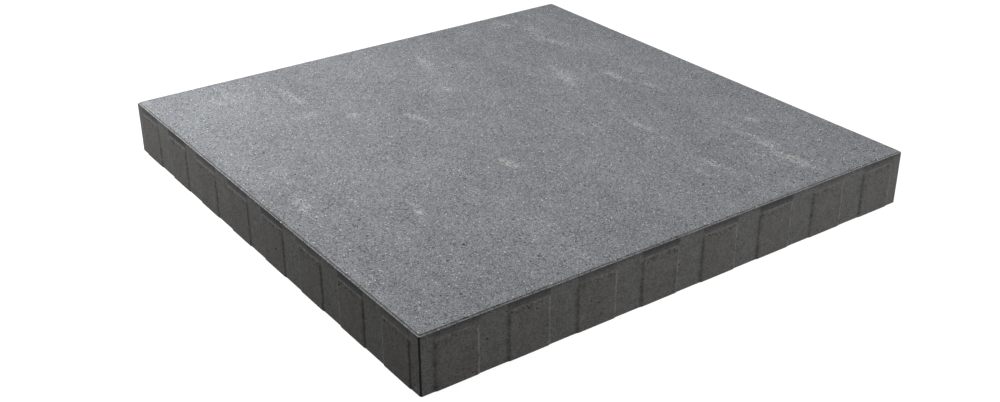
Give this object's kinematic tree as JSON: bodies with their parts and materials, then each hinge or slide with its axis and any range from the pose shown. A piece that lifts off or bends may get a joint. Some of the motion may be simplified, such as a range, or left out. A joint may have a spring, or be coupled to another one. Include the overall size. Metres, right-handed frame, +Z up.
{
  "type": "concrete paving slab",
  "caption": "Square cast concrete paving slab, anthracite grey, with a fine speckled walking face, a narrow stepped ledge round it and spacer nibs along its side walls.",
  "frame": {"origin": "middle of the bedding face, which is the underside", "axes": "+Z up, out of the walking face; X and Y along the sides of the square"},
  "size_m": [0.8, 0.8, 0.08],
  "materials": {
    "concrete": "anthracite pressed concrete: fine blasted speckle on the walking face, smooth matt mould-pressed side walls, rougher bedding face"
  },
  "bodies": {
    "root": {"paving_slab": "concrete"}
  },
  "joints": []
}
